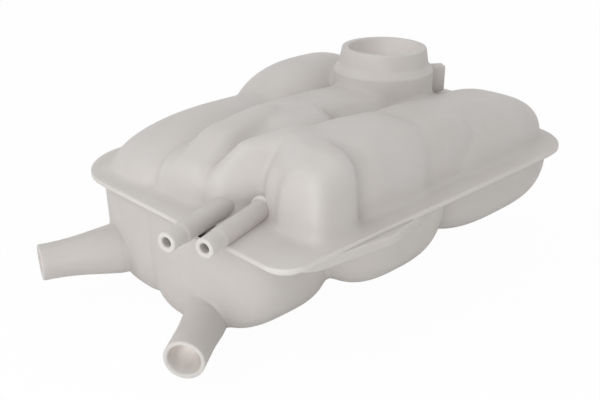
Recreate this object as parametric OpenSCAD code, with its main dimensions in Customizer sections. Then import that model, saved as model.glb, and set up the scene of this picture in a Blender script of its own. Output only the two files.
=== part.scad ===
// Coolant expansion tank: two moulded half shells welded along a flat rim.
// The weld plane is z = 0 in the tank frame, whose corner lies at the rim's near left.
// The finished part is moved so that its origin is the centre of the filler mouth.

/* [Rim] */
// Length of the welding rim along X
rim_l = 254; // [248:1:260]
// Width of the welding rim along Y
rim_w = 185; // [180:1:192]
// Thickness of one half of the rim
rim_t = 2.2; // [1.8:0.1:3]
// Corner radius of the rim at the left end, near side
rim_r_near = 13; // [8:1:18]
// Corner radius of the rim at the other corners
rim_r = 35; // [28:1:40]
// Corner radius of the rim at the left end, far side
rim_r_far = 40; // [34:1:46]
// Reach of the lower ledge beyond the near edge of the rim
ledge_reach = 4; // [2:0.5:6]
// Depth of the lower ledge under the weld plane
ledge_h = 6; // [4:0.5:8]

/* [Shells] */
// Wall thickness of both half shells
wall = 2.6; // [2:0.1:3.4]
// Height of the upper shell over the weld plane
dome_h = 41; // [36:0.5:46]
// Depth of the lower shell at the outlet end
sump_h = 65; // [60:0.5:70]
// Depth of the lower shell at the far end
shallow_h = 41; // [38:0.5:46]

/* [Filler neck] */
// Outer diameter of the neck at the mouth
neck_d = 52; // [46:0.5:58]
// Bore diameter of the neck
bore_d = 42.5; // [36:0.5:45]
// Height of the mouth over the weld plane
mouth_z = 58.5; // [55:0.5:66]
// Outer diameter of the collar round the neck's foot
collar_d = 61; // [57:0.5:66]
// Height of the collar over the weld plane
collar_z = 48.5; // [46:0.5:53]
// Distance of the neck from the rim's left end
neck_x = 170; // [160:1:180]
// Distance of the neck from the rim's near side
neck_y = 92; // [84:1:100]
// Reach of the cap stop from the neck's axis
stop_reach = 39; // [36:0.5:42]

/* [Hose pipes] */
// Outer diameter of the front pipe
front_d = 21; // [18:0.5:23]
// Outer diameter of the front pipe at its root
front_root_d = 24; // [22:0.5:26]
// Distance of the front pipe's mouth from its root in the sump's corner
front_l = 31.5; // [26:0.5:45]
// Outer diameter of the left pipe at its mouth
left_d = 20.5; // [18:0.5:24]
// Outer diameter of the left pipe at its root
left_root_d = 29.5; // [25:0.5:32]
// Distance of the left pipe's mouth from its root
left_l = 43; // [34:1:56]
// Wall thickness of the hose pipes at the mouth
pipe_wall = 2.4; // [1.8:0.1:3.2]

/* [Vent tubes] */
// Outer diameter of the two vent tubes
vent_d = 10; // [8:0.5:11]
// Bore diameter of the two vent tubes
vent_bore = 5; // [3:0.5:6]
// Distance between the two vent tubes
vent_pitch = 18.5; // [17:0.5:20]

/* [Hidden] */
outer_steps = 36;
inner_steps = 24;
rim_inset = 2;
rim_near_set = 3;
neck_foot = dome_h - 12;
neck_land = 6;
neck_flare = 2;
bore_sunk = 8;
bore_clear = 1;
front_land = 20;
left_land = 12;
stop_w = 8;
stop_sunk = 3;
stop_drop = 3;
boss_d = 14;
boss_l = 6;
front_sunk = 12;
left_sunk = 12;

// Roots of the pipes in the tank frame and the turn of each about Z, 180 being straight to the left
front_root = [3.5, 61.8, -52];
front_turn = 216;
left_root = [7.3, 148.4, -42.5];
left_turn = 161;
vent_root = [48.6, 56.4, vent_d / 2];
vent_turn = 196.5;
vent_l = [61, 65];
vent_land = 10;
vent_step = 0.8;
vent_sunk = 3;
stop_turn = -33;

// Set-back of the rim's left edge between the vent tubes, and the ledge's ends and bow along the near edge
notch_y = [48, 54, 63, 70];
notch_in = 13;
notch_lip = 4;
ledge_x = [30, 98];
ledge_end_r = 12;
ledge_end_set = 1.5;
ledge_bow_x = 70;
ledge_bow_r = 40;

// Cells of the upper shell: centre x and y, half length, half width, height, turn in degrees,
// then the squareness of the side along X, of the side along Y and of the plan
upper_cells = [
    [148, 92, 95, 74, dome_h - 11, 0, 2.5, 3.4, 3.2],
    [95, 38, 30, 26, dome_h, 0, 5, 3.4, 6],
    [102, 37, 66, 20.5, dome_h - 3, 0, 4, 5, 6],
    [182, 45, 66, 33, dome_h - 8, 0, 2.4, 2.8, 3.4],
    [170, 92, 36, 36, dome_h, 0, 5, 5, 2],
    [92, 140, 82, 41, dome_h - 10, 0, 2, 1.6, 2.8],
    [155, 133, 57, 44, dome_h + 5.5, 0, 2.3, 1.9, 3],
    [203, 118, 44, 48, dome_h - 17, 0, 2.4, 2.2, 3],
];

// Domes that run from one cell over into the next: the near left one, the wing behind it, the tongue
blended_cells = [
    [
        [44, 24, 16.5, 16.5, dome_h - 4, 0, 2.6, 2.8, 3.2],
        [54, 28, 9, 19.5, dome_h, 0, 5, 3.6, 4.5],
        [53.5, 42, 10, 12, dome_h, 0, 3, 3, 3.2]
    ],
    [
        [45, 72, 24, 12, dome_h - 9, -35, 2.2, 2.6, 4],
        [80, 44, 24, 20, dome_h, 0, 2.6, 2.8, 3]
    ],
    [
        [63, 96.5, 46, 16.5, dome_h - 1, 4, 2.2, 4, 5],
        [104, 97, 30, 19, dome_h - 3, 0, 4, 4, 4]
    ]
];

// Cells of the lower shell, written the same way with their depth
lower_cells = [
    [149, 95, 97, 76, shallow_h - 4, 0, 3, 3, 3.2],
    [43, 78, 36, 50, sump_h, 0, 4.5, 2.2, 3.4],
    [40, 96, 32, 33, sump_h + 6, 0, 6, 4, 3.4],
    [42, 136, 34.5, 38, sump_h + 4, 0, 5, 3, 3],
    [99, 44, 43, 40, shallow_h + 5.5, 0, 3, 2.4, 3],
    [190, 46, 62, 40, shallow_h - 1, 0, 3.4, 3, 3],
    [150, 140, 80, 40, shallow_h, 0, 2.6, 2.6, 3],
];

// Point of a superellipse of unit half size at the angle a
function bulged(a, p) = sign(sin(a)) * pow(abs(sin(a)), 2 / p);

// Ring of a cell at the level angle b, drawn in by the wall thickness t
function cell_ring(c, b, t, dir, n) = [
    for (i = [0:n - 1])
        let (
            a = 360 * i / n,
            x = (c[2] - t) * bulged(90 - b, c[6]) * bulged(a + 90, c[8]),
            y = (c[3] - t) * bulged(90 - b, c[7]) * bulged(a, c[8])
        )
        [
            c[0] + x * cos(c[5]) - y * sin(c[5]),
            c[1] + x * sin(c[5]) + y * cos(c[5]),
            dir * (c[4] - t) * bulged(b, (c[6] + c[7]) / 2)
        ]
];

// One closed cell of a shell, dir 1 upwards or -1 downwards from the weld plane
module cell(c, t, dir, n) {
    side_steps = n / 6;
    rings = [for (k = [0:side_steps - 1]) cell_ring(c, 90 * k / side_steps, t, dir, n)];
    top = [[c[0], c[1], dir * (c[4] - t)]];
    pts = concat([for (r = rings) for (p = r) p], top);
    floor_face = [[for (i = [0:n - 1]) i]];
    walls = [
        for (k = [0:side_steps - 2]) for (i = [0:n - 1]) for (half = [0, 1])
            half == 0
                ? [k * n + i, (k + 1) * n + i, (k + 1) * n + (i + 1) % n]
                : [k * n + i, (k + 1) * n + (i + 1) % n, k * n + (i + 1) % n]
    ];
    last = (side_steps - 1) * n;
    cap = [for (i = [0:n - 1]) [last + i, last + n, last + (i + 1) % n]];
    faces = concat(floor_face, walls, cap);
    polyhedron(points = pts, faces = dir > 0 ? faces : [for (f = faces) [for (j = [len(f) - 1:-1:0]) f[j]]]);
}

module cells(list, t, dir, n) {
    for (c = list) cell(c, t, dir, n);
}

// Domed form of the upper shell, drawn in by the wall thickness t
module upper_form(t, n) {
    cells(upper_cells, t, 1, n);
    for (group = blended_cells) hull() cells(group, t, 1, n);
}

// Rim outline with one tighter corner
module rim_plan() {
    hull() {
        translate([rim_r_near + rim_near_set, rim_r_near]) circle(r = rim_r_near, $fn = 64);
        translate([rim_l - rim_r, rim_r]) circle(r = rim_r, $fn = 96);
        translate([rim_l - rim_r, rim_w - rim_r]) circle(r = rim_r, $fn = 96);
        translate([rim_r_far, rim_w - rim_r_far]) circle(r = rim_r_far, $fn = 96);
    }
}

// Places a pipe: its axis leaves the root point along X, turned about Z
module at_root(root, turn) {
    translate(root) rotate([0, 0, turn]) rotate([0, 90, 0]) children();
}

// Hose pipe: a straight land for the hose at the mouth, a taper to the root and a straight foot in the body
module hose_pipe(mouth_d, root_d, length, land, sunk) {
    translate([0, 0, length - land]) cylinder(d = mouth_d, h = land, $fn = 64);
    cylinder(d1 = root_d, d2 = mouth_d, h = length - land, $fn = 64);
    translate([0, 0, -sunk]) cylinder(d = root_d, h = sunk, $fn = 64);
}

// Bore of a hose pipe or vent tube, from inside the body to beyond the mouth
module tube_bore(bore, length, sunk) {
    translate([0, 0, -sunk - bore_sunk / 2])
        cylinder(d = bore, h = length + sunk + bore_sunk / 2 + bore_clear, $fn = 64);
}

// Place of one vent tube, its axis starting at the tube's inner end
module at_vent(i) {
    at_root(vent_root, vent_turn) translate([0, -vent_pitch * i, 0]) children();
}

// Vent tube: a straight land for the hose at the mouth, slightly thicker behind it
module vent_tube(length) {
    translate([0, 0, length - vent_land]) cylinder(d = vent_d, h = vent_land, $fn = 48);
    translate([0, 0, -vent_sunk])
        cylinder(d = vent_d + vent_step, h = length - vent_land + vent_sunk, $fn = 48);
}

module vents() {
    for (i = [0:1]) at_vent(i) vent_tube(vent_l[i]);
}

module vent_bores() {
    for (i = [0:1]) at_vent(i) tube_bore(vent_bore, vent_l[i], vent_sunk);
}

module upper_shell() {
    color([0.84, 0.84, 0.81]) at_mouth() difference() {
        union() {
            upper_form(0, outer_steps);
            linear_extrude(rim_t) upper_rim_plan();
            translate([neck_x, neck_y, neck_foot]) cylinder(d = collar_d, h = collar_z - neck_foot, $fn = 96);
            translate([neck_x, neck_y, collar_z])
                cylinder(d1 = neck_d + neck_flare, d2 = neck_d, h = mouth_z - collar_z - neck_land, $fn = 96);
            translate([neck_x, neck_y, mouth_z - neck_land]) cylinder(d = neck_d, h = neck_land, $fn = 96);
            cap_stop();
            vents();
            at_vent(0) translate([0, 0, -boss_l / 2]) cylinder(d = boss_d, h = boss_l, $fn = 48);
        }
        upper_form(wall, inner_steps);
        translate([neck_x, neck_y, neck_foot - bore_sunk]) cylinder(d = bore_d, h = mouth_z, $fn = 96);
        vent_bores();
        translate([0, 0, -boss_d]) linear_extrude(boss_d) square([vent_root[0] + boss_d, rim_w]);
    }
}

// Stop lug for the cap, beside the collar
module cap_stop() {
    translate([neck_x, neck_y, neck_foot]) rotate([0, 0, stop_turn])
        translate([collar_d / 2 - stop_sunk, -stop_w / 2, 0])
            cube([stop_reach - collar_d / 2 + stop_sunk, stop_w, collar_z - neck_foot - stop_drop]);
}

// Lower rim, drawn in behind the upper one
module lower_rim_plan() {
    offset(delta = -rim_inset) upper_rim_plan();
}

// Upper rim, set back between the two vent tubes
module upper_rim_plan() {
    difference() {
        rim_plan();
        notch_plan();
    }
}

module notch_plan() {
    polygon([
        [-1, notch_y[3]], [notch_lip, notch_y[3]], [notch_in, notch_y[2]],
        [notch_in, notch_y[1]], [notch_lip, notch_y[0]], [-1, notch_y[0]]
    ]);
}

// Ledge under the near edge of the rim, below the middle cell
module ledge_plan() {
    hull() {
        for (x = ledge_x) translate([x, ledge_end_r + ledge_end_set]) circle(r = ledge_end_r, $fn = 64);
        translate([ledge_bow_x, ledge_bow_r - ledge_reach]) circle(r = ledge_bow_r, $fn = 120);
    }
}

module lower_shell() {
    color([0.80, 0.80, 0.76]) at_mouth() difference() {
        union() {
            cells(lower_cells, 0, -1, outer_steps);
            translate([0, 0, -rim_t]) linear_extrude(rim_t) lower_rim_plan();
            translate([0, 0, -ledge_h]) linear_extrude(ledge_h) ledge_plan();
            at_root(front_root, front_turn) hose_pipe(front_d, front_root_d, front_l, front_land, front_sunk);
            at_root(left_root, left_turn) hose_pipe(left_d, left_root_d, left_l, left_land, left_sunk);
        }
        cells(lower_cells, wall, -1, inner_steps);
        at_root(front_root, front_turn) tube_bore(front_d - 2 * pipe_wall, front_l, front_sunk);
        at_root(left_root, left_turn) tube_bore(left_d - 2 * pipe_wall, left_l, left_sunk);
    }
}

// Moves the tank frame so that the filler mouth's centre is the origin
module at_mouth() {
    translate([-neck_x, -neck_y, -mouth_z]) children();
}

upper_shell();
lower_shell();
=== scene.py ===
import math
import bpy
import bmesh
import numpy as np
from mathutils import Matrix, Vector


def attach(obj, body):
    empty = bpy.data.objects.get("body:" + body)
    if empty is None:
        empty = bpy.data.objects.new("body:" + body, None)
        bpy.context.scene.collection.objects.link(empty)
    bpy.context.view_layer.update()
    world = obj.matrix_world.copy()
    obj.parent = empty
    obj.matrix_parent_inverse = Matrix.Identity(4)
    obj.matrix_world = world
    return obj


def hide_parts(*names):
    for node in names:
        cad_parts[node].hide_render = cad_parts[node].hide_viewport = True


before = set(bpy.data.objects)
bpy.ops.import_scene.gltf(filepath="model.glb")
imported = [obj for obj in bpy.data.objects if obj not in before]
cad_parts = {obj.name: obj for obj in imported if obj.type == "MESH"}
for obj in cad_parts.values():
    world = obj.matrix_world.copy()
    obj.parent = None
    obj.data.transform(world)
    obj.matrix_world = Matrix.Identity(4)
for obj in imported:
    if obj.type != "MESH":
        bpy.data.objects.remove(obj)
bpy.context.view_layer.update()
scene = bpy.context.scene
print("frame loaded")

# Lengths are in millimetres from the rim's near left corner, with the weld plane at z = 0
place = {"neckX": 170.0, "neckY": 92.0, "mouthZ": 58.5}


def toFrame(x, y, z):
    return Vector((x - place["neckX"], y - place["neckY"], z - place["mouthZ"])) / 1000.0


# Helpers
def newObject(name, bm):
    mesh = bpy.data.meshes.new(name)
    bmesh.ops.recalc_face_normals(bm, faces=bm.faces[:])
    bm.to_mesh(mesh)
    bm.free()
    obj = bpy.data.objects.new(name, mesh)
    scene.collection.objects.link(obj)
    return obj


def applyAll(obj):
    bpy.context.view_layer.update()
    graph = bpy.context.evaluated_depsgraph_get()
    mesh = bpy.data.meshes.new_from_object(obj.evaluated_get(graph), depsgraph=graph)
    old = obj.data
    obj.modifiers.clear()
    obj.data = mesh
    bpy.data.meshes.remove(old)
    return obj


def combine(obj, tool, operation):
    before = len(obj.data.polygons)
    mod = obj.modifiers.new("cut", 'BOOLEAN')
    mod.operation = operation
    mod.object = tool
    mod.solver = 'MANIFOLD'
    applyAll(obj)
    print("  ", operation.lower(), tool.name, before, "->", len(obj.data.polygons))
    mesh = tool.data
    bpy.data.objects.remove(tool)
    bpy.data.meshes.remove(mesh)


def remeshed(obj, voxel, passes):
    mod = obj.modifiers.new("skin", 'REMESH')
    mod.mode = 'VOXEL'
    mod.voxel_size = voxel
    mod.adaptivity = 0.0
    soft = obj.modifiers.new("soften", 'SMOOTH')
    soft.factor = 0.5
    soft.iterations = passes
    return applyAll(obj)


# Cells: the domes of the upper shell and the troughs of the lower one
balls = {}  # unit spheres that the cells are shaped from, kept by their step counts


def addBall(bm, steps, levels):
    if (steps, levels) not in balls:
        part = bmesh.new()
        bmesh.ops.create_uvsphere(part, u_segments=steps, v_segments=2 * levels, radius=1.0)
        balls[steps, levels] = bpy.data.meshes.new("ball")
        part.to_mesh(balls[steps, levels])
        part.free()
    first = len(bm.verts)
    bm.from_mesh(balls[steps, levels])
    bm.verts.ensure_lookup_table()
    return bm.verts[first:]


def bulge(angle, power):
    s = math.sin(angle)
    return math.copysign(abs(s) ** (2.0 / power), s)


def addCell(bm, cell, drawnIn, side, steps=96, levels=22, skirt=12.0):
    cx, cy, halfL, halfW, height, turn, powerX, powerY, powerPlan = cell
    halfL, halfW, height = halfL - drawnIn, halfW - drawnIn, height - drawnIn
    ct, st = math.cos(math.radians(turn)), math.sin(math.radians(turn))
    quarter = math.pi / 2
    firstLow = math.cos(quarter / levels)
    for v in addBall(bm, steps, levels):
        rise = math.asin(max(-1.0, min(1.0, v.co.z)))
        around = math.atan2(v.co.y, v.co.x)
        upper = max(rise, 0.0)
        # below its equator the ball becomes the flat underside of the skirt
        narrow = min(1.0, math.cos(rise) / firstLow) if rise < -0.001 else 1.0
        x = halfL * narrow * bulge(quarter - upper, powerX) * bulge(around + quarter, powerPlan)
        y = halfW * narrow * bulge(quarter - upper, powerY) * bulge(around, powerPlan)
        z = height * bulge(upper, (powerX + powerY) / 2) if rise > -0.001 else -skirt
        v.co = toFrame(cx + x * ct - y * st, cy + x * st + y * ct, side * z)


# A blend is the convex hull of a few cells
def addBlend(bm, cells, drawnIn, side):
    part = bmesh.new()
    for cell in cells:
        addCell(part, cell, drawnIn, side, steps=48, levels=9)
    low = min(v.co.z * side for v in part.verts) + 0.0001
    inner = [v for v in part.verts if v.co.z * side < low
             and all(e.other_vert(v).co.z * side <= low for e in v.link_edges)]
    bmesh.ops.delete(part, geom=inner, context='VERTS')
    bmesh.ops.delete(part, geom=part.faces[:], context='FACES_ONLY')
    hull = bmesh.ops.convex_hull(part, input=part.verts[:], use_existing_faces=False)
    kept = set(g for g in hull["geom"] if isinstance(g, bmesh.types.BMFace))
    bmesh.ops.delete(part, geom=[f for f in part.faces if f not in kept], context='FACES')
    mesh = bpy.data.meshes.new("blend")
    part.to_mesh(mesh)
    part.free()
    bm.from_mesh(mesh)
    bpy.data.meshes.remove(mesh)


def addShell(bm, spec, drawnIn, side, **fine):
    for cell in spec["cells"]:
        addCell(bm, cell, drawnIn, side, **fine)
    for group in spec["blends"]:
        addBlend(bm, group, drawnIn, side)


# Outlines
def circlePoints(cx, cy, r, steps=96):
    turns = [2 * math.pi * i / steps for i in range(steps)]
    return [(cx + r * math.cos(t), cy + r * math.sin(t)) for t in turns]


def boxOutline(x0, y0, x1, y1):
    return [(x0, y0), (x1, y0), (x1, y1), (x0, y1)]


def hullOutline(points):
    points = sorted(set((round(x, 5), round(y, 5)) for x, y in points))

    def half(seq):
        out = []
        for p in seq:
            while len(out) > 1 and ((out[-1][0] - out[-2][0]) * (p[1] - out[-2][1])
                                    - (out[-1][1] - out[-2][1]) * (p[0] - out[-2][0])) <= 0:
                out.pop()
            out.append(p)
        return out[:-1]
    return half(points) + half(points[::-1])


def roundedCorner(before, corner, after, radius, steps=6):
    b = (Vector(before) - Vector(corner)).normalized()
    a = (Vector(after) - Vector(corner)).normalized()
    half = b.angle(a) / 2
    reach = radius / math.tan(half)
    centre = Vector(corner) + (a + b).normalized() * radius / math.sin(half)
    start = Vector(corner) + b * reach - centre
    end = Vector(corner) + a * reach - centre
    return [tuple(centre + start.slerp(end, k / steps).normalized() * radius)
            for k in range(steps + 1)]


def offsetOutline(points, distance):
    moved = []
    n = len(points)
    for i in range(n):
        p0, p1, p2 = (Vector(points[(i + k) % n]) for k in (-1, 0, 1))
        d1, d2 = (p1 - p0).normalized(), (p2 - p1).normalized()
        n1, n2 = Vector((d1.y, -d1.x)), Vector((d2.y, -d2.x))
        mean = (n1 + n2).normalized()
        moved.append(tuple(p1 + mean * distance / max(0.5, mean.dot(n1))))
    return moved


# Prisms and spun forms
def bevelEdges(bm, edges, size, segments=3):
    bmesh.ops.bevel(bm, geom=edges, offset=size / 1000.0, segments=segments, profile=0.5,
                    affect='EDGES', material=-1)


def addPrism(bm, outline, z0, z1, bevelTop=0.0, bevelBottom=0.0, segments=3):
    verts = [bm.verts.new(toFrame(x, y, z0)) for x, y in outline]
    face = bm.faces.new(verts)
    result = bmesh.ops.extrude_face_region(bm, geom=[face])
    lifted = [v for v in result["geom"] if isinstance(v, bmesh.types.BMVert)]
    bmesh.ops.translate(bm, verts=lifted, vec=Vector((0, 0, (z1 - z0) / 1000.0)))
    top = [f for f in result["geom"] if isinstance(f, bmesh.types.BMFace)]
    if bevelTop:
        bevelEdges(bm, top[0].edges[:], bevelTop, segments)
    if bevelBottom:
        bottom = min(bm.faces, key=lambda f: sum(v.co.z for v in f.verts) / len(f.verts))
        bevelEdges(bm, bottom.edges[:], bevelBottom, segments)


def prismObject(name, outline, z0, z1, **bevels):
    bm = bmesh.new()
    addPrism(bm, outline, z0, z1, **bevels)
    return newObject(name, bm)


# Profile points are (radius, distance along the axis, rounding of that corner)
def arcProfile(points, steps=4):
    out = []
    for i, (r, d, rounding) in enumerate(points):
        if rounding and 0 < i < len(points) - 1:
            out += roundedCorner(points[i - 1][:2], (r, d), points[i + 1][:2], rounding, steps)
        else:
            out.append((r, d))
    return out


# The mouth is (depth of its rounding, rounding, flare, reach past the end)
def boreProfile(radius, start, end, mouth):
    depth, rounding, flare, past = mouth
    return arcProfile([(0, start, 0), (radius, start, 0), (radius, end - depth, rounding),
                       (radius + flare, end + past, 0), (0, end + past, 0)])


def addSpun(bm, profile, matrix, steps=96):
    start = [bm.verts.new(Vector((r, 0, d)) / 1000.0) for r, d in profile]
    edges = [bm.edges.new((a, b)) for a, b in zip(start, start[1:])]
    known = set(bm.verts) - set(start)
    bmesh.ops.spin(bm, geom=start + edges, cent=(0, 0, 0), axis=(0, 0, 1), angle=2 * math.pi,
                   steps=steps, use_merge=True, use_duplicate=False)
    made = [v for v in bm.verts if v not in known]
    bmesh.ops.remove_doubles(bm, verts=made, dist=0.00001)
    made = [v for v in bm.verts if v not in known]
    bmesh.ops.transform(bm, matrix=matrix, verts=made)


def addRound(bm, radius, start, end, matrix):
    addSpun(bm, [(0, start), (radius, start), (radius, end), (0, end)], matrix)


def spunObject(name, profile, matrix, steps=96):
    bm = bmesh.new()
    addSpun(bm, profile, matrix, steps)
    return newObject(name, bm)


def atAxis(z):
    return Matrix.Translation(toFrame(place["neckX"], place["neckY"], z))


def atRoot(root, turn, sideways=0.0):
    return (Matrix.Translation(toFrame(*root)) @ Matrix.Rotation(math.radians(turn), 4, 'Z')
            @ Matrix.Rotation(math.radians(90), 4, 'Y')
            @ Matrix.Translation(Vector((0, sideways / 1000.0, 0))))


# Rim
rim = {
    "length": 254.0, "width": 185.0, "thick": 2.2, "edgeRound": 0.7,
    "cornerNear": 13.0, "corner": 35.0, "cornerFar": 40.0, "nearSet": 3.0,
    "lowerInset": 2.0, "upperTrim": 1.3, "lowerTrim": 1.2,
    "slabOut": 9.0, "slabDepth": 12.0,  # the slab that melts into the domes
    "over": 0.03,  # how far the plate stands over the melted skin
}

notch = {
    "y": (48.0, 54.0, 63.0, 70.0), "depth": 13.0, "lip": 4.0, "leftPart": 20.0,
    "run": 5.0, "round": 2.2, "lipRound": 0.8,
    "behind": (7.4, 42.0, 18.0, 76.0), "behindDepth": 8.0, "cover": (8.6, 44.0, 18.0, 74.0),
}


def rimOutline():
    right, far = rim["length"] - rim["corner"], rim["width"] - rim["corner"]
    points = circlePoints(rim["cornerNear"] + rim["nearSet"], rim["cornerNear"], rim["cornerNear"])
    points += circlePoints(right, rim["corner"], rim["corner"])
    points += circlePoints(right, far, rim["corner"])
    points += circlePoints(rim["cornerFar"], rim["width"] - rim["cornerFar"], rim["cornerFar"])
    outline = hullOutline(points)

    def leftRise(i):
        left = outline[i][0] < notch["leftPart"]
        return abs(outline[i][1] - outline[i - 1][1]) if left else 0
    at = max(range(len(outline)), key=leftRise)
    a, b = Vector(outline[at - 1]), Vector(outline[at])

    def onEdge(y):
        return (a.x + (b.x - a.x) * (y - a.y) / (b.y - a.y), y)
    y0, y1, y2, y3 = notch["y"]
    way = [onEdge(y3 + notch["run"]), onEdge(y3), (notch["lip"], y3), (notch["depth"], y2),
           (notch["depth"], y1), (notch["lip"], y0), onEdge(y0), onEdge(y0 - notch["run"])]
    cut = [way[0]]
    cut += roundedCorner(way[0], way[1], way[2], notch["lipRound"], 4)
    cut += [way[2]]
    cut += roundedCorner(way[2], way[3], way[4], notch["round"])
    cut += roundedCorner(way[3], way[4], way[5], notch["round"])
    cut += [way[5]]
    cut += roundedCorner(way[5], way[6], way[7], notch["lipRound"], 4)
    cut += [way[7]]
    return outline[:at] + cut + outline[at:]


rimEdge = rimOutline()
print("rim outline", len(rimEdge))

# Upper shell. A cell is centre x and y, half length, half width, height, turn, and three
# powers that square off its section along x, its section along y and its plan
upper = {
    "wall": 2.6, "reach": 90.0,
    "cells": [
        (148, 92, 95, 74, 30, 0, 2.5, 3.4, 3.2),
        (102, 36, 66, 22, 38, 0, 4, 5, 6),
        (170, 92, 33, 33, 40, 0, 5, 5, 2),
        (92, 140, 82, 41, 31, 0, 2, 1.6, 2.8),
        (155, 140, 57, 37, 46.5, 0, 2.3, 2, 3),
        (203, 118, 44, 48, 24, 0, 2.4, 2.2, 3),
    ],
    "blends": [
        [(84, 75, 22, 17, 38, 0, 4, 4, 3), (96, 97, 26, 20, 38, 0, 4, 4, 3)],
        [(112, 97, 40, 20, 38, 0, 4, 4, 3), (150, 89, 24, 24, 38, 0, 4, 4, 3)],
        [(186, 45, 62, 33, 33, 0, 2.4, 2.8, 3.4), (136, 42, 32, 24, 38, 0, 3, 4, 4)],
        [(95, 38, 30, 26, 41, 0, 5, 3.4, 6), (80, 46, 28, 20, 41, 0, 5, 3, 4)],
        [(47, 24, 16.5, 16.5, 37, 0, 2.6, 2.8, 4), (54, 28, 9, 19.5, 41, 0, 5, 3.6, 4.5),
         (60, 46, 12, 10, 40.5, 0, 3, 3, 3), (65, 58, 14, 13, 41, 0, 3, 3, 3)],
        [(33, 75, 12, 9, 24, 0, 3, 3, 3), (46, 69, 14, 9, 36, -20, 3, 3, 3),
         (65, 58, 15, 13, 41, 0, 2.6, 2.8, 3)],
        [(60, 40, 11, 12, 40.5, 0, 3, 3, 3), (57, 63, 10, 10, 38, 0, 3, 3, 3)],
        [(33, 96, 16, 16.5, 25.5, 4, 2.6, 3, 4), (58, 97, 32, 16, 37, 4, 2.6, 3, 4),
         (78, 97, 12, 14, 40.5, 0, 3, 3, 3)],
        [(48, 80, 20, 12, 26, 0, 3, 3, 3), (86, 78, 26, 18, 36.5, 0, 3, 3, 3)],
        [(50, 112, 34, 12, 24, 4, 3, 3, 3), (92, 108, 20, 14, 33, 0, 3, 3, 3)],
    ],
    "voxel": 0.0015, "softPasses": 22, "innerVoxel": 0.0024, "innerPasses": 8,
}

# Depths along the neck are counted from the mouth, with a minus sign
neck = {
    "radius": 26.0, "lip": 25.5, "bore": 21.25, "collar": 30.5, "foot": 29.0, "boreDepth": 37.5,
    "collarTop": -13.2, "collarRound": 3.0, "rootWider": 1.2, "rootTop": -9.2, "rootRound": 5.0,
    "lipFoot": -2.5, "lipFootRound": 4.0, "lipRound": 0.7, "chamfer": (1.2, 0.8, 1.6, 1.0),
    "formLess": 0.5, "formSunk": 20.0, "formTop": 17.0,  # the form that melts into the domes
}

vents = {
    "root": (48.6, 56.4, 5.0), "turn": 196.5, "lengths": (61.0, 65.0), "pitch": 18.5,
    "radius": 5.0, "rootRadius": 5.4, "bore": 2.5, "land": 10.0, "sunk": 3.0, "boreSunk": 5.0,
    "step": 1.5, "rootRound": 0.6, "stepRound": 1.5, "endRound": 0.9,
    "chamfer": (0.7, 0.4, 1.2, 0.6),
    "bossRadius": 7.2, "bossLength": 13.0, "bossRound": 1.5,
    "formLess": 0.4, "formSunk": 4.0, "formTop": 2.6,
    "underLength": 62.6, "underDepth": 14.0,  # what lies below the weld plane is cut off
}

# Stop for the cap beside the collar
lug = {"turn": -33.0, "reach": 39.0, "width": 8.0, "sunk": 3.0, "drop": 3.0, "top": 48.5,
       "edge": 1.2}


def upperOuter():
    bm = bmesh.new()
    addShell(bm, upper, 0.0, 1)
    addPrism(bm, offsetOutline(rimEdge, rim["slabOut"]), -rim["slabDepth"], rim["thick"])
    addRound(bm, neck["collar"] - neck["formLess"], -neck["formSunk"], neck["formTop"],
             atAxis(neck["foot"]))
    addRound(bm, vents["bossRadius"] - vents["formLess"], -vents["formSunk"], vents["formTop"],
             atRoot(vents["root"], vents["turn"]))
    return remeshed(newObject("upperForm", bm), upper["voxel"], upper["softPasses"])


def upperInner():
    bm = bmesh.new()
    addShell(bm, upper, upper["wall"], 1, steps=64, levels=14)
    return remeshed(newObject("upperHollow", bm), upper["innerVoxel"], upper["innerPasses"])


def neckWall():
    foot = neck["foot"] - place["mouthZ"]
    profile = arcProfile([
        (0, foot, 0), (neck["collar"], foot, 0),
        (neck["collar"], neck["collarTop"], neck["collarRound"]),
        (neck["radius"] + neck["rootWider"], neck["rootTop"], neck["rootRound"]),
        (neck["radius"], neck["lipFoot"], neck["lipFootRound"]),
        (neck["lip"], 0, neck["lipRound"]), (0, 0, 0)], 7)
    return spunObject("neckWall", profile, atAxis(place["mouthZ"]), 128)


def neckBore():
    profile = boreProfile(neck["bore"], -neck["boreDepth"], 0, neck["chamfer"])
    return spunObject("neckBore", profile, atAxis(place["mouthZ"]), 128)


def ventTube(length, matrix):
    end, root = length - vents["land"], vents["rootRadius"]
    profile = arcProfile([
        (0, -vents["sunk"], 0), (root, -vents["sunk"], 0),
        (root, end - vents["step"], vents["rootRound"]),
        (vents["radius"], end, vents["stepRound"]),
        (vents["radius"], length, vents["endRound"]), (0, length, 0)])
    return spunObject("ventTube", profile, matrix, 64)


def ventBore(length, matrix):
    profile = boreProfile(vents["bore"], -vents["boreSunk"], length, vents["chamfer"])
    return spunObject("ventBore", profile, matrix, 48)


def ventBoss():
    radius, end = vents["bossRadius"], vents["bossLength"]
    profile = arcProfile([(0, -vents["sunk"], 0), (radius, -vents["sunk"], 0),
                          (radius, end, vents["bossRound"]), (0, end, 0)])
    return spunObject("ventBoss", profile, atRoot(vents["root"], vents["turn"]), 64)


def capStop():
    x0, x1 = neck["collar"] - lug["sunk"], lug["reach"]
    height = lug["top"] - neck["foot"] - lug["drop"]
    bm = bmesh.new()
    bmesh.ops.create_cube(bm, size=1.0)
    bmesh.ops.scale(bm, vec=Vector((x1 - x0, lug["width"], height)) / 1000.0, verts=bm.verts)
    middle = Vector(((x0 + x1) / 2, 0, height / 2)) / 1000.0
    bmesh.ops.translate(bm, vec=middle, verts=bm.verts)
    bevelEdges(bm, bm.edges[:], lug["edge"])
    turn = Matrix.Rotation(math.radians(lug["turn"]), 4, 'Z')
    bmesh.ops.transform(bm, verts=bm.verts, matrix=atAxis(neck["foot"]) @ turn)
    return newObject("capStop", bm)


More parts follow.
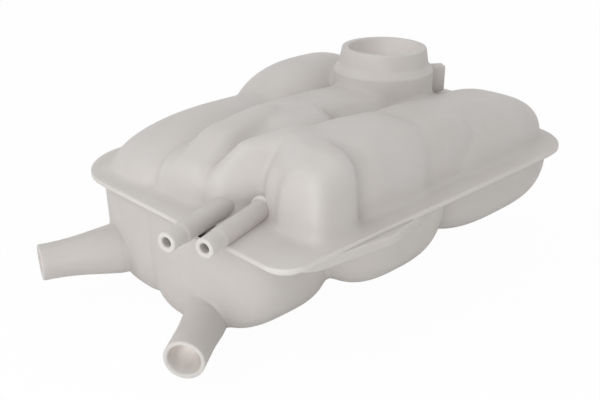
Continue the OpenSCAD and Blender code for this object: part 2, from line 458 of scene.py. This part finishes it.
def buildUpper():
    skin = upperOuter()
    print("upper form", len(skin.data.polygons))
    inside = offsetOutline(rimEdge, -rim["upperTrim"])
    plateTop = rim["thick"] + rim["over"]
    combine(skin, prismObject("rimPrism", inside, 0.0, upper["reach"]), 'INTERSECT')
    combine(skin, prismObject("rimPlate", rimEdge, 0.0, plateTop, bevelTop=rim["edgeRound"]),
            'UNION')
    combine(skin, neckWall(), 'UNION')
    tubes = [(length, atRoot(vents["root"], vents["turn"], -vents["pitch"] * i))
             for i, length in enumerate(vents["lengths"])]
    for length, matrix in tubes:
        combine(skin, ventTube(length, matrix), 'UNION')
    combine(skin, ventBoss(), 'UNION')
    combine(skin, capStop(), 'UNION')
    combine(skin, upperInner(), 'DIFFERENCE')
    combine(skin, neckBore(), 'DIFFERENCE')
    for length, matrix in tubes:
        combine(skin, ventBore(length, matrix), 'DIFFERENCE')
    under = boxOutline(0, 0, vents["underLength"], rim["width"])
    combine(skin, prismObject("underTubes", under, -vents["underDepth"], 0.0), 'DIFFERENCE')
    return skin


# Lower shell
lower = {
    "wall": 2.6, "reach": 90.0,
    "cells": [
        (149, 95, 97, 76, 37, 0, 3, 3, 3.2),
        (43, 78, 36, 50, 65, 0, 4.5, 2.2, 3.4),
        (40, 96, 32, 33, 71, 0, 6, 4, 3.4),
        (42, 136, 34.5, 38, 69, 0, 5, 3, 3),
        (99, 44, 43, 40, 46.5, 0, 3, 2.4, 3),
        (190, 46, 62, 40, 40, 0, 3.4, 3, 3),
        (150, 140, 80, 40, 41, 0, 2.6, 2.6, 3),
    ],
    "blends": [],
    "voxel": 0.0015, "softPasses": 14, "innerVoxel": 0.0026, "innerPasses": 8,
}

ledge = {"x": (30.0, 98.0), "endRadius": 12.0, "endSet": 1.5, "bowX": 70.0, "bowRadius": 40.0,
         "reach": 4.0, "depth": 6.0, "edge": 1.5}

pipes = {
    "front": {"root": (3.5, 61.8, -52.0), "turn": 216.0, "mouth": 10.5, "rootRadius": 11.4,
              "length": 31.5, "land": 20.0, "sunk": 30.0, "sweep": 90.0},
    "left": {"root": (7.3, 148.4, -42.5), "turn": 161.0, "mouth": 10.25, "rootRadius": 14.75,
             "length": 43.0, "land": 14.0, "sunk": 22.0, "sweep": 140.0},
}

# What both pipes share
pipeWall = {
    "thick": 2.4, "rootRound": 3.0, "endRound": 0.8, "chamfer": (0.8, 0.5, 1.4, 0.8),
    "formLess": 0.5, "spaceOut": 45.0, "spaceTop": 4.5,
}


def ledgeOutline():
    points = []
    for x in ledge["x"]:
        points += circlePoints(x, ledge["endRadius"] + ledge["endSet"], ledge["endRadius"])
    bowY = ledge["bowRadius"] - ledge["reach"]
    points += circlePoints(ledge["bowX"], bowY, ledge["bowRadius"], 160)
    return hullOutline(points)


def lowerOuter():
    bm = bmesh.new()
    addShell(bm, lower, 0.0, -1)
    addPrism(bm, offsetOutline(rimEdge, rim["slabOut"]), -rim["thick"], rim["slabDepth"])
    for pipe in pipes.values():
        foot, tip = pipe["rootRadius"] - pipeWall["formLess"], pipe["mouth"] - pipeWall["formLess"]
        end = pipe["length"] - pipe["land"]
        addSpun(bm, [(0, -pipe["sunk"]), (foot, -pipe["sunk"]), (foot, 0), (tip, end), (0, end)],
                atRoot(pipe["root"], pipe["turn"]), 64)
    return remeshed(newObject("lowerForm", bm), lower["voxel"], lower["softPasses"])


def lowerInner():
    bm = bmesh.new()
    addShell(bm, lower, lower["wall"], -1, steps=64, levels=14)
    return remeshed(newObject("lowerHollow", bm), lower["innerVoxel"], lower["innerPasses"])


# The room that the lower skin may fill: under the rim, around the pipes and at the notch
def lowerRoom(edge):
    inside = offsetOutline(edge, -rim["lowerTrim"])
    around = offsetOutline(hullOutline(rimEdge), pipeWall["spaceOut"])
    room = prismObject("rimPrism", inside, -lower["reach"], 0.0)
    combine(room, prismObject("pipeSpace", around, -lower["reach"],
                              -rim["thick"] - pipeWall["spaceTop"]), 'UNION')
    combine(room, prismObject("behindNotch", boxOutline(*notch["behind"]),
                              -rim["thick"] - notch["behindDepth"], 0.0), 'UNION')
    return room


def pipeBody(name, pipe):
    root, tip, sunk = pipe["rootRadius"], pipe["mouth"], -pipe["sunk"]
    profile = arcProfile([
        (0, sunk, 0), (root, sunk, 0), (root, 0, pipeWall["rootRound"]),
        (tip, pipe["length"] - pipe["land"], pipe["sweep"]),
        (tip, pipe["length"], pipeWall["endRound"]), (0, pipe["length"], 0)], 5)
    return spunObject(name + "Pipe", profile, atRoot(pipe["root"], pipe["turn"]))


def pipeBore(name, pipe):
    profile = boreProfile(pipe["mouth"] - pipeWall["thick"], -pipe["sunk"], pipe["length"],
                          pipeWall["chamfer"])
    return spunObject(name + "Bore", profile, atRoot(pipe["root"], pipe["turn"]))


def buildLower():
    skin = lowerOuter()
    print("lower form", len(skin.data.polygons))
    edge = offsetOutline(rimEdge, -rim["lowerInset"])
    combine(skin, lowerRoom(edge), 'INTERSECT')
    plate = prismObject("rimPlate", edge, -rim["thick"] - rim["over"], 0.0,
                        bevelBottom=rim["edgeRound"])
    combine(skin, plate, 'UNION')
    combine(skin, prismObject("ledge", ledgeOutline(), -ledge["depth"], 0.0,
                              bevelBottom=ledge["edge"], segments=4), 'UNION')
    for name, pipe in pipes.items():
        combine(skin, pipeBody(name, pipe), 'UNION')
    combine(skin, lowerInner(), 'DIFFERENCE')
    combine(skin, prismObject("notchCover", boxOutline(*notch["cover"]), -rim["thick"], 0.0),
            'UNION')
    for name, pipe in pipes.items():
        combine(skin, pipeBore(name, pipe), 'DIFFERENCE')
    return skin


# Marks on the points for the materials: how far the skin folds in or out, which gives painted
# shade in the creases and a painted highlight on the crests, and the band by the rim, which gets a
# painted glow
marks = {"foldPasses": 10, "foldKeep": 0.4, "foldRange": 500.0, "shortest": 4e-7,
         "thinHeight": 9.0, "sharpAngle": 38.0, "weld": 0.00002}


def markFolds(mesh):
    n, m = len(mesh.vertices), len(mesh.edges)
    co, no = np.empty(n * 3), np.empty(n * 3)
    mesh.vertices.foreach_get("co", co)
    mesh.vertex_normals.foreach_get("vector", no)
    co, no = co.reshape(-1, 3), no.reshape(-1, 3)
    ends = np.empty(m * 2, dtype=np.int32)
    mesh.edges.foreach_get("vertices", ends)
    a, b = ends.reshape(-1, 2).T

    def summed(atA, atB):
        return np.bincount(a, atA, n) + np.bincount(b, atB, n)
    step = co[b] - co[a]
    length2 = np.maximum((step ** 2).sum(1), 1e-10)
    bend = ((no[b] - no[a]) * step).sum(1) / np.maximum(length2, marks["shortest"])
    weight = np.sqrt(length2)
    fold = summed(bend * weight, bend * weight) / np.maximum(summed(weight, weight), 1e-9)
    count = np.maximum(summed(None, None), 1)
    for _ in range(marks["foldPasses"]):
        near = summed(fold[b], fold[a]) / count
        fold = marks["foldKeep"] * fold + (1 - marks["foldKeep"]) * near
    fold = np.clip(0.5 + fold / marks["foldRange"], 0, 1)
    layer = mesh.attributes.new("fold", 'FLOAT', 'POINT')
    layer.data.foreach_set("value", fold.astype(np.float32))


# A mask near the weld plane, for a painted glow of light through the thin rim
def markRimGlow(mesh):
    co = np.empty(len(mesh.vertices) * 3)
    mesh.vertices.foreach_get("co", co)
    z = co[2::3] * 1000.0 + place["mouthZ"]
    rimGlow = np.clip(1.0 - np.abs(z) / marks["thinHeight"], 0, 1)
    layer = mesh.attributes.new("rimGlow", 'FLOAT', 'POINT')
    layer.data.foreach_set("value", (rimGlow * rimGlow * (3 - 2 * rimGlow)).astype(np.float32))


def finishSkin(obj, name, node):
    bm = bmesh.new()
    bm.from_mesh(obj.data)
    bmesh.ops.remove_doubles(bm, verts=bm.verts, dist=marks["weld"])
    bmesh.ops.triangulate(bm, faces=[f for f in bm.faces if len(f.verts) > 4])
    bmesh.ops.recalc_face_normals(bm, faces=bm.faces[:])
    bm.to_mesh(obj.data)
    bm.free()
    obj.name = name
    obj.data.name = name
    obj.data.polygons.foreach_set("use_smooth", [True] * len(obj.data.polygons))
    obj.data.set_sharp_from_angle(angle=math.radians(marks["sharpAngle"]))
    markFolds(obj.data)
    markRimGlow(obj.data)
    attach(obj, "root")
    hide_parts(node)
    triangles = sum(len(p.vertices) - 2 for p in obj.data.polygons)
    print(name, len(obj.data.vertices), "points", triangles, "triangles")
    return obj


upperSkin = finishSkin(buildUpper(), "upperShellSkin", "upper_shell")
lowerSkin = finishSkin(buildLower(), "lowerShellSkin", "lower_shell")
for ball in balls.values():
    bpy.data.meshes.remove(ball)

# Materials
plastic = {
    # the lower shell's colour is a little darker than the upper one's: painted shade on the same
    # plastic
    "upperColor": (0.60, 0.574, 0.556), "lowerShadedColor": (0.59, 0.563, 0.542),
    # scale, detail, roughness and stretch of each noise
    "cloud": (22.0, 4.0, 0.6, None), "flow": (60.0, 3.0, 0.55, (0.25, 1.0, 1.0)),
    "grain": (1400.0, 2.0, 0.6, None), "scuff": (240.0, 6.0, 0.75, (0.12, 1.0, 0.5)),
    "stretchTurn": 0.5,
    # where each tone begins and is full, its strength and its tint
    "cloudTone": (0.35, 0.70, 1.0, (0.955, 0.95, 0.94, 1.0)),
    "flowTone": (0.50, 0.72, 0.7, (0.97, 0.965, 0.955, 1.0)),
    # painted shade: the colour darkens where the skin folds in
    "valleyPaintedShade": (0.46, 0.20, 0.85, (0.92, 0.915, 0.90, 1.0)),
    # painted highlight: the colour lightens where the skin folds out
    "crestPaintedHighlight": (0.58, 0.85, 0.35, (0.70, 0.69, 0.67, 1.0)),
    "scuffTone": (0.66, 0.74, 0.5, (0.90, 0.89, 0.87, 1.0)),
    # painted glow: the thin rim is lightened as if light shone through it
    "rimPaintedGlow": (1.04, 1.04, 1.035, 1.0),
    # begin, full and the values there
    "cloudRough": (0.3, 0.7, 0.37, 0.50), "scuffRough": (0.62, 0.74, 0.0, 0.16),
    "scuffHeight": (0.66, 0.74, 0.0, 0.3), "grainHeight": 0.35, "flowHeight": 0.65,
    "bump": 0.25, "bumpDistance": 0.0004,
    "ior": 1.49, "milk": 0.35, "milkRadius": (1.0, 0.95, 0.9), "milkScale": 0.002,
}


def plasticGroup():
    group = bpy.data.node_groups.new("milkyPlastic", 'ShaderNodeTree')
    addSocket = group.interface.new_socket
    addSocket("Base", in_out='INPUT', socket_type='NodeSocketColor')
    addSocket("Color", in_out='OUTPUT', socket_type='NodeSocketColor')
    addSocket("Roughness", in_out='OUTPUT', socket_type='NodeSocketFloat')
    addSocket("Height", in_out='OUTPUT', socket_type='NodeSocketFloat')
    nodes, links = group.nodes, group.links
    inn, out = nodes.new('NodeGroupInput'), nodes.new('NodeGroupOutput')
    coord = nodes.new('ShaderNodeTexCoord')

    def feed(sockets, values):
        for socket, value in zip(sockets, values):
            if isinstance(value, (float, tuple)):
                socket.default_value = value
            else:
                links.new(value, socket)

    def noise(name):
        scale, detail, rough, stretch = plastic[name]
        tex = nodes.new('ShaderNodeTexNoise')
        tex.inputs["Scale"].default_value = scale
        tex.inputs["Detail"].default_value = detail
        tex.inputs["Roughness"].default_value = rough
        point = coord.outputs["Object"]
        if stretch:
            mapping = nodes.new('ShaderNodeMapping')
            mapping.inputs["Scale"].default_value = stretch
            mapping.inputs["Rotation"].default_value = (0.0, 0.0, plastic["stretchTurn"])
            links.new(point, mapping.inputs["Vector"])
            point = mapping.outputs["Vector"]
        links.new(point, tex.inputs["Vector"])
        return tex.outputs["Fac"]

    def mark(name):
        node = nodes.new('ShaderNodeAttribute')
        node.attribute_name = name
        return node.outputs["Fac"]

    def ranged(value, low, high, newLow, newHigh):
        node = nodes.new('ShaderNodeMapRange')
        node.inputs["From Min"].default_value = low
        node.inputs["From Max"].default_value = high
        node.inputs["To Min"].default_value = newLow
        node.inputs["To Max"].default_value = newHigh
        links.new(value, node.inputs["Value"])
        return node.outputs["Result"]

    def math2(kind, a, b):
        node = nodes.new('ShaderNodeMath')
        node.operation = kind
        feed(node.inputs, (a, b))
        return node.outputs[0]

    def mixed(kind, fac, a, b):
        node = nodes.new('ShaderNodeMix')
        node.data_type = 'RGBA'
        node.blend_type = kind
        node.clamp_result = False
        feed((node.inputs[0], node.inputs[6], node.inputs[7]), (fac, a, b))  # 6 and 7 are colours
        return node.outputs[2]

    def toned(kind, value, name, color):
        low, high, strength, tint = plastic[name]
        return mixed(kind, ranged(value, low, high, 0.0, strength), color, tint)

    cloud, flow, grain, scuff = (noise(name) for name in ("cloud", "flow", "grain", "scuff"))
    fold = mark("fold")
    color = toned('MULTIPLY', cloud, "cloudTone", inn.outputs["Base"])
    color = toned('MULTIPLY', flow, "flowTone", color)
    # painted shade darkens the creases
    color = toned('MULTIPLY', fold, "valleyPaintedShade", color)
    # painted highlight lightens the crests
    color = toned('MIX', fold, "crestPaintedHighlight", color)
    color = toned('MULTIPLY', scuff, "scuffTone", color)
    # painted glow lightens the band by the rim
    color = mixed('MULTIPLY', mark("rimGlow"), color, plastic["rimPaintedGlow"])
    links.new(color, out.inputs["Color"])
    rough = math2('ADD', ranged(cloud, *plastic["cloudRough"]),
                  ranged(scuff, *plastic["scuffRough"]))
    links.new(rough, out.inputs["Roughness"])
    height = math2('ADD', math2('MULTIPLY', grain, plastic["grainHeight"]),
                   math2('MULTIPLY', flow, plastic["flowHeight"]))
    height = math2('SUBTRACT', height, ranged(scuff, *plastic["scuffHeight"]))
    links.new(height, out.inputs["Height"])
    return group


def plasticMaterial(name, group, color):
    mat = bpy.data.materials.new(name)
    mat.use_nodes = True
    nodes, links = mat.node_tree.nodes, mat.node_tree.links
    bsdf = nodes["Principled BSDF"]
    look = nodes.new('ShaderNodeGroup')
    look.node_tree = group
    look.inputs["Base"].default_value = (*color, 1.0)
    bump = nodes.new('ShaderNodeBump')
    bump.inputs["Strength"].default_value = plastic["bump"]
    bump.inputs["Distance"].default_value = plastic["bumpDistance"]
    links.new(look.outputs["Height"], bump.inputs["Height"])
    links.new(look.outputs["Color"], bsdf.inputs["Base Color"])
    links.new(look.outputs["Roughness"], bsdf.inputs["Roughness"])
    links.new(bump.outputs["Normal"], bsdf.inputs["Normal"])
    bsdf.inputs["IOR"].default_value = plastic["ior"]
    bsdf.inputs["Subsurface Weight"].default_value = plastic["milk"]
    bsdf.inputs["Subsurface Radius"].default_value = plastic["milkRadius"]
    bsdf.inputs["Subsurface Scale"].default_value = plastic["milkScale"]
    return mat


milky = plasticGroup()
for skin, name, color in ((upperSkin, "upperPlastic", plastic["upperColor"]),
                          (lowerSkin, "lowerPlastic", plastic["lowerShadedColor"])):
    skin.data.materials.clear()
    skin.data.materials.append(plasticMaterial(name, milky, color))
print("materials done")

# Floor, world, lamps and camera, in metres of the frame
studio = {
    "floorZ": -0.1297, "floorSize": 6.0, "floorColor": (0.86, 0.86, 0.86, 1), "floorGlow": 0.97,
    "worldColor": (1.0, 0.998, 0.995, 1), "worldStrength": 0.74,
    "lamps": {
        "keyLamp": {"at": (-0.80, 0.02, 0.50), "size": 0.9, "energy": 2.1},
        "fillLamp": {"at": (-0.62, -0.42, -0.05), "size": 0.4, "energy": 1.0},
        "lowLamp": {"at": (-0.58, -0.16, -0.10), "size": 0.3, "energy": 0.1},
    },
    "aim": (-0.05, 0.0, -0.06),
    # light that gets through the milky walls: place in the tank's millimetres, and energy
    "inner": [((150, 90, 8), 0.05), ((26, 78, -50), 0.11)], "innerSoft": 0.012,
}

camera = {
    "lens": 48.0, "sensor": 36.0, "clip": (0.01, 20.0), "at": (-0.3673, -0.3147, 0.1150),
    "right": (0.7272, -0.6864, 0.0), "up": (0.2829, 0.2997, 0.9111),
}


def buildFloor():
    bm = bmesh.new()
    bmesh.ops.create_grid(bm, x_segments=1, y_segments=1, size=studio["floorSize"])
    bmesh.ops.translate(bm, verts=bm.verts, vec=(0, 0, studio["floorZ"]))
    floor = newObject("floor", bm)
    mat = bpy.data.materials.new("floorWhite")
    mat.use_nodes = True
    nodes, links = mat.node_tree.nodes, mat.node_tree.links
    nodes.clear()
    out = nodes.new('ShaderNodeOutputMaterial')
    mix = nodes.new('ShaderNodeMixShader')
    diffuse = nodes.new('ShaderNodeBsdfDiffuse')
    glow = nodes.new('ShaderNodeEmission')
    path = nodes.new('ShaderNodeLightPath')
    part = nodes.new('ShaderNodeMath')
    part.operation = 'MULTIPLY'
    part.inputs[1].default_value = studio["floorGlow"]
    diffuse.inputs["Color"].default_value = studio["floorColor"]
    glow.inputs["Color"].default_value = (1, 1, 1, 1)
    glow.inputs["Strength"].default_value = 1.0
    links.new(path.outputs["Is Camera Ray"], part.inputs[0])
    links.new(part.outputs[0], mix.inputs[0])
    links.new(diffuse.outputs[0], mix.inputs[1])
    links.new(glow.outputs[0], mix.inputs[2])
    links.new(mix.outputs[0], out.inputs["Surface"])
    floor.data.materials.append(mat)


# The world is plain white where the camera sees it and dimmer where it only lights
def buildWorld():
    world = bpy.data.worlds.new("studio")
    scene.world = world
    world.use_nodes = True
    nodes, links = world.node_tree.nodes, world.node_tree.links
    nodes.clear()
    out = nodes.new('ShaderNodeOutputWorld')
    back = nodes.new('ShaderNodeBackground')
    path = nodes.new('ShaderNodeLightPath')
    seen = nodes.new('ShaderNodeMath')
    seen.operation = 'MAXIMUM'
    level = nodes.new('ShaderNodeMapRange')
    level.inputs["To Min"].default_value = studio["worldStrength"]
    level.inputs["To Max"].default_value = 1.0
    back.inputs["Color"].default_value = studio["worldColor"]
    links.new(path.outputs["Is Camera Ray"], seen.inputs[0])
    links.new(path.outputs["Is Transmission Ray"], seen.inputs[1])
    links.new(seen.outputs[0], level.inputs["Value"])
    links.new(level.outputs["Result"], back.inputs["Strength"])
    links.new(back.outputs[0], out.inputs["Surface"])


def newLamp(name, kind, at, energy):
    lamp = bpy.data.lights.new(name, kind)
    lamp.energy = energy
    obj = bpy.data.objects.new(name, lamp)
    scene.collection.objects.link(obj)
    obj.location = at
    return obj


def buildLamps():
    for name, spec in studio["lamps"].items():
        obj = newLamp(name, 'AREA', spec["at"], spec["energy"])
        obj.data.shape = 'DISK'
        obj.data.size = spec["size"]
        aim = Vector(studio["aim"]) - Vector(spec["at"])
        obj.rotation_euler = aim.to_track_quat('-Z', 'Y').to_euler()
    for i, (at, energy) in enumerate(studio["inner"]):
        obj = newLamp("innerLamp%d" % i, 'POINT', toFrame(*at), energy)
        obj.data.shadow_soft_size = studio["innerSoft"]
        obj.visible_camera = False


def buildCamera():
    cam = bpy.data.cameras.new("camera")
    cam.sensor_width = camera["sensor"]
    cam.lens = camera["lens"]
    cam.clip_start, cam.clip_end = camera["clip"]
    obj = bpy.data.objects.new("camera", cam)
    scene.collection.objects.link(obj)
    right = Vector(camera["right"]).normalized()
    up = Vector(camera["up"]).normalized()
    back = right.cross(up)
    turn = Matrix((right, up, back)).transposed().to_4x4()
    obj.matrix_world = Matrix.Translation(camera["at"]) @ turn
    scene.camera = obj


buildFloor()
buildWorld()
buildLamps()
buildCamera()
scene.view_settings.view_transform = 'Standard'
print("stage done")
